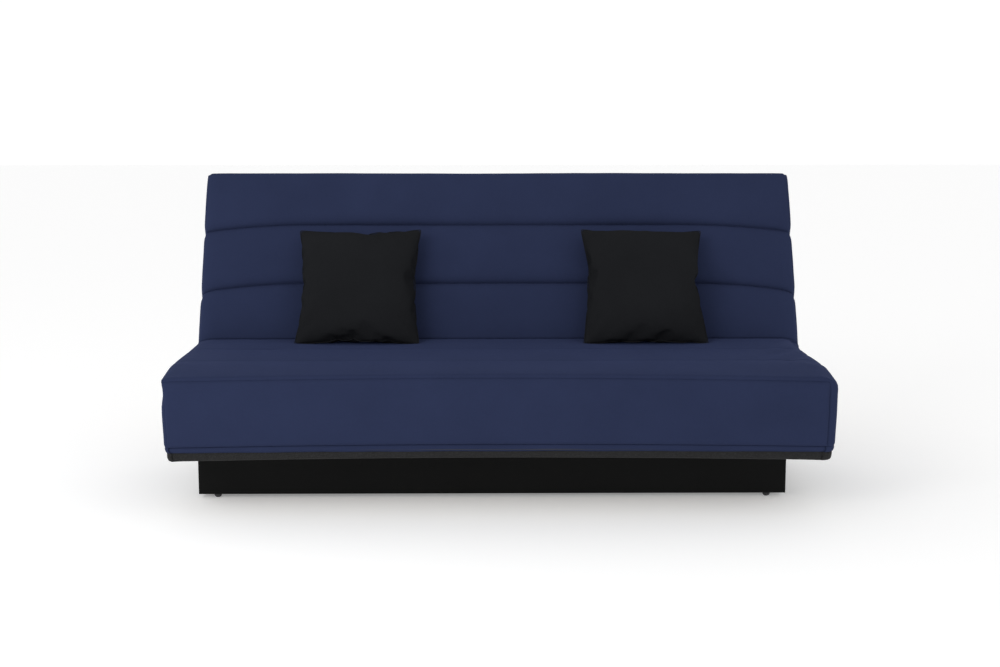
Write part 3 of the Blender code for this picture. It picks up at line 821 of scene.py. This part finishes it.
for half in (seat, back):
    cover = build_cover(half)
    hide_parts(f"{half.name}_cover")
    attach(cover, half.name)
    hem = build_hem(half)
    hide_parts(f"{half.name}_cover_hem")
    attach(hem, half.name)
    body = build_mattress(half)
    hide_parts(f"{half.name}_mattress")
    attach(body, half.name)

# ---------------------------------------------------------------- the crease and the hinge side
HALF_ANGLE = (math.pi / 2.0 + BACK_TILT) / 2.0
BISECTOR = Vector((0.0, -math.cos(HALF_ANGLE), math.sin(HALF_ANGLE)))
ACROSS = Vector((0.0, math.sin(HALF_ANGLE), math.cos(HALF_ANGLE)))
HINGE = Vector((0.0, HINGE_Y, HINGE_Z))
FOLD_HALF = 2.2 * MM
CREASE_ENDS = (-0.949, 0.945)
BEND_ENDS = (-0.862, 0.822)
BEND_RADIUS = 0.0885


def build_fold():
    """Cover fabric tucked down the crease, spread across the valley between the two halves."""
    across_steps, deep_steps, columns = 14, 7, 240
    points, faces = [], []
    section = []
    for i in range(across_steps + 1):
        t = i / across_steps
        turned = math.pi / 2.0 - RECLINE / 2.0 + RECLINE * (1.0 - smooth(t))
        section.append((t, 1.0 / math.sin(turned)))
    for c in range(columns + 1):
        x = mix(*CREASE_ENDS, c / columns)
        for side in range(across_steps + 1):
            t, reach = section[side][0], section[side][1] * (fold_up(x) - 0.0005)
            for d in range(deep_steps + 1):
                radius = mix(0.0035, reach, d / deep_steps)
                if d == deep_steps:
                    radius += (0.0012 * ripple(x * 22.0, t * 2.0, seed=50.0) - 0.001) * math.sin(math.pi * t)
                point = HINGE + BISECTOR * radius + ACROSS * mix(-FOLD_HALF, FOLD_HALF, t)
                points.append(point + Vector((x, 0, 0)))
    wide, deep = across_steps + 1, deep_steps + 1

    def at(c, side, d):
        return (c * wide + side) * deep + d

    for c in range(columns):
        for side in range(across_steps):
            for d in (0, deep_steps):
                faces.append((at(c, side, d), at(c, side + 1, d), at(c + 1, side + 1, d), at(c + 1, side, d)))
        for d in range(deep_steps):
            for side in (0, across_steps):
                faces.append((at(c, side, d), at(c, side, d + 1), at(c + 1, side, d + 1), at(c + 1, side, d)))
    for c in (0, columns):
        for side in range(across_steps):
            for d in range(deep_steps):
                faces.append((at(c, side, d), at(c, side + 1, d), at(c, side + 1, d + 1), at(c, side, d + 1)))
    fold = mesh_object("crease_fold", points, faces, angle=60.0)
    builder = bmesh.new()
    builder.from_mesh(fold.data)
    loose = [v for v in builder.verts if not v.link_faces]
    bmesh.ops.delete(builder, geom=loose, context="VERTS")
    bmesh.ops.recalc_face_normals(builder, faces=builder.faces)
    builder.to_mesh(fold.data)
    builder.free()
    give(fold, NAVY_CLOTH)
    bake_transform(fold)


def sector_point(x, radius, turn):
    """A point behind and below the hinge; turn runs from the seat's edge at 0 to the back's edge at 1."""
    angle = RECLINE * turn
    return HINGE + Vector((x, radius * math.sin(angle), -radius * math.cos(angle)))


def hinge_edge_x(half, sign, radius):
    """Where a half's end panel stands at its hinge edge, a given distance below the hinge."""
    spots = [half.side(0, drop, sign) for drop in half.drops]
    for (xa, _, ua), (xb, _, ub) in zip(spots, spots[1:]):
        if ub <= -radius <= ua:
            return mix(xa, xb, (ua + radius) / (ua - ub))
    if -radius > spots[0][2]:
        return spots[0][0]
    rim_x, _, rim_up = spots[-1]
    share = clamp((rim_up + radius) / (rim_up - half.hem_line(rim_x)))
    return rim_x + sign * half.band_shift(share, sign)


def build_bellows(name, sign, inset, radii, material):
    """End fabric that fills the wedge under the hinge, between the halves."""
    steps, deep, thick = 28, 12, 2.5 * MM
    points, faces = [], []
    for layer in (0.0, thick):
        for d in range(deep + 1):
            radius = mix(*radii, d / deep)
            from_x, to_x = hinge_edge_x(seat, sign, radius), hinge_edge_x(back, sign, radius)
            for s in range(steps + 1):
                turn = mix(-0.16, 1.16, s / steps)
                inside = math.sin(math.pi * clamp(turn))
                wave = 0.0012 * math.sin(turn * math.pi * 4.0) * inside * radius / radii[1]
                x = mix(from_x, to_x, smooth(turn)) - sign * (inset + layer) + wave
                points.append(sector_point(x, radius, turn))
    wide = steps + 1
    layer = (deep + 1) * wide
    for d in range(deep):
        for s in range(steps):
            a = d * wide + s
            faces.append((a, a + 1, a + wide + 1, a + wide))
            faces.append(tuple(i + layer for i in (a, a + wide, a + wide + 1, a + 1)))
    rim = list(range(wide)) + [d * wide + steps for d in range(1, deep + 1)]
    rim += [deep * wide + s for s in range(steps - 1, -1, -1)] + [d * wide for d in range(deep - 1, 0, -1)]
    for a, b in zip(rim, rim[1:] + rim[:1]):
        faces.append((a, a + layer, b + layer, b))
    item = weld_and_face_out(mesh_object(name, points, faces, angle=60.0))
    give(item, material)
    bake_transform(item)


def build_mattress_bend():
    """Ticking that carries on round under the hinge from one half to the other."""
    radius, steps, columns = BEND_RADIUS, 20, 90
    points = []
    for c in range(columns + 1):
        x = mix(*BEND_ENDS, c / columns)
        for s in range(steps + 1):
            turn = s / steps
            crumple = 0.0018 * ripple(x * 6.0, turn * 3.0, seed=60.0) * math.sin(math.pi * turn)
            points.append(sector_point(x, radius - 0.002 + crumple, turn))
        points.append(sector_point(x, 0.006, 0.5))
    count = steps + 2
    faces = tube_faces(count, columns + 1)
    faces.append(tuple(range(count)))
    faces.append(tuple(range(columns * count, (columns + 1) * count)))
    item = weld_and_face_out(mesh_object("mattress_bend", points, faces, angle=60.0))
    give(item, TICKING)
    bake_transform(item)


build_fold()
build_mattress_bend()
for label, sign in (("left", -1.0), ("right", 1.0)):
    build_bellows(f"end_bellows_{label}", sign, 0.0032, (0.003, 0.1515), NAVY_CLOTH)
    build_bellows(f"end_bellows_hem_{label}", sign, 0.0085, (0.1518, 0.1745), NONWOVEN)

# ---------------------------------------------------------------- small parts
def merge_pieces(name, parts, angle=40.0):
    """One object from several (points, faces) lists."""
    points, faces = [], []
    for part_points, part_faces in parts:
        start = len(points)
        points.extend(part_points)
        faces.extend(tuple(i + start for i in face) for face in part_faces)
    return weld_and_face_out(mesh_object(name, points, faces, angle=angle), 1e-7)


def stitch(at, along, out, length, width):
    """One thread stitch: a slim lozenge half sunk in the cloth."""
    side = along.cross(out).normalized()
    ends = (at - along * length / 2.0, at + along * length / 2.0)
    ring = [at + side * width, at + out * width, at - side * width, at - out * width]
    faces = []
    for k in range(4):
        faces += [(0, 2 + k, 2 + (k + 1) % 4), (1, 2 + (k + 1) % 4, 2 + k)]
    return [*ends, *ring], faces


def stitch_run(path, pitch, length, width):
    """Stitches at an even pitch along (point, outward) pairs."""
    parts, carried = [], pitch / 2.0
    for (here, out), (there, _) in zip(path, path[1:]):
        span = (there - here).length
        while span > 1e-6 and carried < span:
            along = (there - here) / span
            parts.append(stitch(here + along * carried, along, out, length, width))
            carried += pitch
        carried -= span
    return parts


def hem_stitches(half):
    """One row of stitches through the hem band."""
    down, stand = 0.0030, 0.4 * MM
    path = []
    for (x, out, up), (sx, so) in half.skirt_path(1.0):
        line = half.hem_line(x)
        share = 1.0 - down / (up - line)
        wave = half.band_wave(share, x, out)
        shift = half.band_shift(share, sx) + stand
        place = half.place(x + sx * shift, out + so * shift, line + down + wave)
        outward = half.place(x + sx * (shift + 0.01), out + so * (shift + 0.01), line + down + wave)
        path.append((place, (outward - place).normalized()))
    run = merge_pieces(f"{half.name}_band_stitches", stitch_run(path, 0.0062, 0.0040, 0.00042))
    give(run, NAVY_THREAD)
    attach(run, half.name)


def rounded_block(low, high, radius, basis):
    """Box with eased edges; basis maps its local axes to the scene."""
    builder = bmesh.new()
    bmesh.ops.create_cube(builder, size=1.0)
    for vertex in builder.verts:
        vertex.co = [mix(a, b, c + 0.5) for a, b, c in zip(low, high, vertex.co)]
    bmesh.ops.bevel(builder, geom=builder.edges[:], offset=radius, segments=3, affect="EDGES", profile=0.5)
    points = [basis(*v.co) for v in builder.verts]
    faces = [tuple(v.index for v in f.verts) for f in builder.faces]
    builder.free()
    return points, faces


def slat_caps(half):
    """Moulded shoe on both ends of every slat."""
    parts = []
    for index in range(SLATS):
        x = BASE_X + SLAT_SPAN * (2.0 * index / (SLATS - 1) - 1.0)
        for start in (0.0385, half.length - 0.0325):
            low = (x - 0.0295, start, FRAME_TOP_UP + 0.0006)
            high = (x + 0.0295, start + 0.0170, FRAME_TOP_UP + 0.0118)
            parts.append(rounded_block(low, high, 0.0018, half.place))
            rib = (x - 0.0200, start + 0.006, FRAME_TOP_UP + 0.010)
            rib_end = (x + 0.0200, start + 0.011, FRAME_TOP_UP + 0.0130)
            parts.append(rounded_block(rib, rib_end, 0.0010, half.place))
    caps = merge_pieces(f"{half.name}_slat_shoes", parts)
    give(caps, PLASTIC)
    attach(caps, half.name)


def bolt_head(centre, axis, radius, height, washer):
    """Hexagon head with a chamfered crown on a round washer."""
    axis = Vector(axis).normalized()
    side = axis.orthogonal().normalized()
    other = axis.cross(side)

    def ring(count, reach, lift):
        turns = [2.0 * math.pi * k / count for k in range(count)]
        return [centre + axis * lift + (side * math.cos(a) + other * math.sin(a)) * reach for a in turns]

    parts = []
    for count, profile in ((24, [(washer, 0.0), (washer, 0.0008), (washer - 0.0004, 0.0012)]),
                           (6, [(radius, 0.0012), (radius, height - 0.0008), (radius * 0.86, height)])):
        points = [point for reach, lift in profile for point in ring(count, reach, lift)]
        faces = tube_faces(count, len(profile))
        faces.append(tuple(range(count))[::-1])
        faces.append(tuple(range((len(profile) - 1) * count, len(profile) * count)))
        parts.append((points, faces))
    return parts


def arm_bolts(half, arm_x):
    """Bolts through each hinge arm into the side rail."""
    parts = []
    for sign in (-1.0, 1.0):
        for out in (0.085, 0.165):
            centre = half.place(BASE_X + sign * (arm_x + 0.0050), out, (FRAME_TOP_UP + FRAME_LOW_UP) / 2.0)
            parts += bolt_head(centre, (sign, 0.0, 0.0), 0.0060, 0.0046, 0.0085)
    bolts = merge_pieces(f"{half.name}_arm_bolts", parts, angle=30.0)
    give(bolts, ZINC)
    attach(bolts, half.name)


def base_fixings():
    """Screws that hold the skids to the box and the posts to the skids."""
    parts = []
    low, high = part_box("skid_right")
    for sign in (-1.0, 1.0):
        outer = BASE_X + sign * (high[0] - BASE_X)
        for y in (low[1] + 0.030, low[1] + 0.110):
            centre = Vector((outer, y, (low[2] + high[2]) / 2.0))
            parts += bolt_head(centre, (sign, 0.0, 0.0), 0.0050, 0.0040, 0.0070)
        post_low, post_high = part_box("hinge_post_right")
        face = BASE_X + sign * (post_high[0] - BASE_X)
        for y in (HINGE_Y - 0.025, HINGE_Y + 0.025):
            centre = Vector((face, y, post_low[2] + 0.014))
            parts += bolt_head(centre, (sign, 0.0, 0.0), 0.0055, 0.0045, 0.0080)
    screws = merge_pieces("base_fixings", parts, angle=30.0)
    give(screws, ZINC)
    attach(screws, "base")


NAVY_THREAD = cloth_material("navy_thread", shade(NAVY, 1.5), pitch=0.0006, sheen=0.1)
for half, arm_x in ((seat, SEAT_FRAME_HALF + 0.0003), (back, SEAT_FRAME_HALF + 0.0056)):
    hem_stitches(half)
    slat_caps(half)
    arm_bolts(half, arm_x)
base_fixings()

# ---------------------------------------------------------------- scatter cushions
CUSHION_WIDE = 0.391
CUSHION_HIGH = 0.408
CUSHION_THICK = 0.140
CUSHION_GRID = 44
PULL_IN = 0.45
CLOTH_FRAMES = 20
CUSHION_LEAN = math.radians(4.5)


def cushion_frame(label):
    """Matrix from a cushion's own axes (width, height, front) to the rest pose."""
    angle = BACK_TILT + CUSHION_LEAN
    height = Vector((0.0, math.sin(angle), math.cos(angle)))
    front = Vector((0.0, -math.cos(angle), math.sin(angle)))
    width = height.cross(front)
    low, high = (Vector(corner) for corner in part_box(f"cushion_{label}"))
    centre = (low + high) / 2.0 + 0.002 * (front + height)
    base = Matrix((width, height, front)).transposed().to_4x4()
    base.translation = centre
    return base


def cushion_shape(u, v, sign, side, seed):
    """Un-stuffed cover: two square panels sewn round the edge, a little slack in the cloth."""
    half = side / 2.0
    bulge = (1.0 - u * u) * (1.0 - v * v)
    loft = 0.046 * max(0.0, bulge) ** 0.5
    slack = 0.0018 * ripple(u * 2.6, v * 2.6, sign, seed) * min(1.0, bulge * 4.0)
    return Vector((u * half, v * half, sign * loft + slack))


def cushion_cloth(name, seed):
    """Closed two-panel mesh; returns the object and the vertex ring of its sewn edge."""
    n = CUSHION_GRID
    values = [-1.0 + 2.0 * i / n for i in range(n + 1)]
    points, index, faces = [], {}, []
    for sign in (1.0, -1.0):
        for j, v in enumerate(values):
            for i, u in enumerate(values):
                edge = i in (0, n) or j in (0, n)
                if edge and sign < 0.0:
                    index[(sign, i, j)] = index[(1.0, i, j)]
                    continue
                index[(sign, i, j)] = len(points)
                points.append(cushion_shape(u, v, 0.0 if edge else sign, CUSHION_HIGH * 1.02, seed))
    for sign in (1.0, -1.0):
        for j in range(n):
            for i in range(n):
                quad = [index[(sign, *c)] for c in ((i, j), (i + 1, j), (i + 1, j + 1), (i, j + 1))]
                faces.append(tuple(quad if sign > 0.0 else quad[::-1]))
    ring = [index[(1.0, i, 0)] for i in range(n)] + [index[(1.0, n, j)] for j in range(n)]
    ring += [index[(1.0, i, n)] for i in range(n, 0, -1)] + [index[(1.0, 0, j)] for j in range(n, 0, -1)]
    return mesh_object(name, points, faces), ring


def inflate(item):
    scene = bpy.context.scene
    cloth = item.modifiers.new("Cloth", "CLOTH")
    settings = cloth.settings
    settings.quality = 8
    settings.mass = 0.25
    settings.tension_stiffness = 22.0
    settings.compression_stiffness = 22.0
    settings.shear_stiffness = 6.0
    settings.bending_stiffness = 0.35
    settings.tension_damping = 12.0
    settings.compression_damping = 12.0
    settings.use_pressure = True
    settings.uniform_pressure_force = 3.0
    settings.effector_weights.gravity = 0.0
    cloth.collision_settings.use_collision = False
    cloth.collision_settings.use_self_collision = False
    cloth.point_cache.frame_start = 1
    cloth.point_cache.frame_end = CLOTH_FRAMES
    for step in range(1, CLOTH_FRAMES + 1):
        scene.frame_set(step)
    apply_modifiers(item)
    scene.frame_set(1)


def eased(mesh, rounds):
    """Vertex places with the simulation's sharpest dents eased by their neighbours."""
    points = [v.co.copy() for v in mesh.vertices]
    for _ in range(rounds):
        total = [Vector() for _ in points]
        count = [0] * len(points)
        for edge in mesh.edges:
            a, b = edge.vertices
            total[a] += points[b]
            total[b] += points[a]
            count[a] += 1
            count[b] += 1
        points = [p.lerp(t / c, 0.5) for p, t, c in zip(points, total, count)]
    return points


def settle_cushion(item, ring, fold_at, crest, seed):
    """Press the back against the sofa, square the outline to size, and add folds and edge puckers."""
    mesh = item.data
    points = [v.co.copy() for v in mesh.vertices]
    for index, place in enumerate(eased(mesh, 16)):
        points[index].z = place.z
    half_x, half_y = CUSHION_WIDE / 2.0, CUSHION_HIGH / 2.0
    outline = [points[i] for i in ring]
    wide = max(abs(p.x) for p in outline)
    high = max(abs(p.y) for p in outline)
    deep = max(abs(p.z) for p in points)
    quarter = len(ring) // 4
    sides = {}
    for name, first, axis in (("low", 0, 1), ("right", 1, 0), ("high", 2, 1), ("left", 3, 0)):
        run = [outline[(first * quarter + k) % len(ring)] for k in range(quarter + 1)]
        run = sorted((p[1 - axis], abs(p[axis])) for p in run)
        for _ in range(12):
            middle = [(b[0], (a[1] + 2.0 * b[1] + c[1]) / 4.0) for a, b, c in zip(run, run[1:], run[2:])]
            run = [run[0], *middle, run[-1]]
        sides[name] = run

    def reach_at(name, place, full):
        """Share of the full half size that a sewn side keeps at one place along it."""
        run = sides[name]
        for (a, ra), (b, rb) in zip(run, run[1:]):
            if place <= b:
                t = clamp((place - a) / max(1e-6, b - a))
                return mix(ra, rb, t) / full
        return run[-1][1] / full

    for vertex, p in zip(mesh.vertices, points):
        across = reach_at("right" if p.x > 0.0 else "left", p.y, wide)
        upward = reach_at("high" if p.y > 0.0 else "low", p.x, high)
        x = p.x / wide * half_x / across * mix(1.0, across, PULL_IN)
        y = p.y / high * half_y / upward * mix(1.0, upward, PULL_IN)
        z = p.z * min(1.0, CUSHION_THICK * 0.5 / deep)
        u, v = x / half_x, y / half_y
        if z < 0.0:
            z = max(z, -0.066 + 0.012 * (u * u + v * v))
        low = smooth(-v, 0.25, 1.0)
        z += 0.004 * low * (1.0 - u * u) * (1.0 if p.z > 0.0 else -0.5)
        x *= 1.0 - 0.036 * (1.0 - v * v)
        rim = min(1.0 - abs(u), 1.0 - abs(v))
        front = 1.0 if p.z > 0.0 else 0.35
        corner = math.exp(-((1.0 - abs(u)) ** 2 + (1.0 + v) ** 2) / 0.16)
        z += front * 0.0035 * corner * math.sin((abs(u) + v) * 17.0 + seed) * min(1.0, rim * 9.0)
        pleat = ripple(v * 7.0, math.copysign(2.0, u), seed=seed) * math.exp(-((1.0 - abs(u)) / 0.16) ** 2)
        hem = ripple(u * 7.0, math.copysign(2.0, v), seed=seed + 1.0)
        hem *= math.exp(-((1.0 - abs(v)) / 0.14) ** 2)
        z += front * (0.0050 * pleat + 0.0028 * hem) * min(1.0, rim * 9.0)
        if fold_at:
            fu, fv = fold_at
            away = ((u - fu) * 0.80 + (v - fv) * 0.35) / 0.05
            length = math.exp(-(((v - fv) - (u - fu) * 0.6) / 0.20) ** 2)
            z -= front * 0.009 * math.exp(-away * away) * length
        y += (0.0045 * math.exp(-((u - crest) / 0.35) ** 2) - 0.001) * smooth(v, 0.2, 1.0)
        vertex.co = (x, y, z)
    return [mesh.vertices[i].co.copy() for i in ring]


def build_welt(name, ring, radius):
    """Sewn edge: a thin doubled lip of cloth round the cushion."""
    count, sides = len(ring), 6
    points, faces = [], []
    for k, here in enumerate(ring):
        along = (ring[(k + 1) % count] - ring[k - 1]).normalized()
        outward = Vector((here.x, here.y, 0.0))
        outward -= outward.project(along)
        outward.normalize()
        up = along.cross(outward).normalized()
        for s in range(sides):
            a = 2.0 * math.pi * s / sides
            wide = radius * (1.0 + 0.25 * ripple(k * 0.35, 0.0, seed=80.0))
            points.append(here + outward * math.cos(a) * wide * 1.3 + up * math.sin(a) * wide * 0.8)
    for k in range(count):
        for s in range(sides):
            a, b = k * sides + s, k * sides + (s + 1) % sides
            c, d = ((k + 1) % count) * sides + (s + 1) % sides, ((k + 1) % count) * sides + s
            faces.append((a, b, c, d))
    return mesh_object(name, points, faces)


def build_cushion(label, seed, fold_at, crest):
    pillow, ring = cushion_cloth(f"cushion_{label}_stuffed", seed)
    inflate(pillow)
    outline = settle_cushion(pillow, ring, fold_at, crest, seed)
    subdivide(pillow)
    welt = build_welt(f"cushion_{label}_sewn_edge", outline, 1.5 * MM)
    subdivide(welt)
    matrix = cushion_frame(label)
    for piece in (pillow, welt):
        piece.data.transform(matrix)
        piece.data.shade_smooth()
        weld_and_face_out(piece, 1e-7)
        give(piece, INK_CLOTH)
        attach(piece, f"cushion_{label}")
        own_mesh(piece)
    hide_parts(f"cushion_{label}")


build_cushion("left", 3.0, None, 0.18)
build_cushion("right", 9.0, (0.50, -0.84), -0.28)


# ---------------------------------------------------------------- stage
def look_camera():
    data = bpy.data.cameras.new("camera")
    data.sensor_width = 36.0
    data.lens = 59.24
    data.clip_end = 60.0
    camera = bpy.data.objects.new("camera", data)
    bpy.context.scene.collection.objects.link(camera)
    camera.location = (-0.048, FRONT_Y - 4.549, 1.278)
    camera.rotation_euler = (math.radians(90.0 - 9.316), 0.0, math.radians(-0.60))
    bpy.context.scene.camera = camera


def area_light(name, location, target, size, power):
    data = bpy.data.lights.new(name, "AREA")
    data.shape = "RECTANGLE"
    data.size, data.size_y = size
    data.energy = power
    item = bpy.data.objects.new(name, data)
    bpy.context.scene.collection.objects.link(item)
    item.location = location
    direction = Vector(target) - Vector(location)
    item.rotation_euler = direction.to_track_quat("-Z", "Y").to_euler()


def build_stage():
    floor = mesh_object("floor", [(-14, -9, 0), (14, -9, 0), (14, 16, 0), (-14, 16, 0)], [(0, 1, 2, 3)])
    n = Nodes("pale_floor")
    n.set(Base_Color=(0.90, 0.90, 0.90, 1.0), Roughness=0.9, Specular_IOR_Level=0.1)
    n.set(Emission_Color=(1.0, 1.0, 1.0, 1.0), Emission_Strength=0.24)
    floor.data.materials.append(n.material)
    world = bpy.data.worlds.new("studio")
    bpy.context.scene.world = world
    world.use_nodes = True
    tree = world.node_tree
    background = tree.nodes["Background"]
    background.inputs["Color"].default_value = (1.0, 1.0, 1.0, 1.0)
    parts = tree.nodes.new("ShaderNodeSeparateXYZ")
    tree.links.new(tree.nodes.new("ShaderNodeTexCoord").outputs["Generated"], parts.inputs["Vector"])
    fade = tree.nodes.new("ShaderNodeMapRange")
    fade.inputs["From Min"].default_value = 0.35
    fade.inputs["From Max"].default_value = 0.95
    fade.inputs["To Min"].default_value = 1.02
    fade.inputs["To Max"].default_value = 0.62
    tree.links.new(parts.outputs["Z"], fade.inputs["Value"])
    tree.links.new(fade.outputs["Result"], background.inputs["Strength"])
    area_light("key", (-2.5, -3.3, 2.3), (-0.2, 0.0, 0.35), (2.2, 1.8), 48.0)


look_camera()
build_stage()
bpy.context.scene.view_settings.view_transform = "Standard"
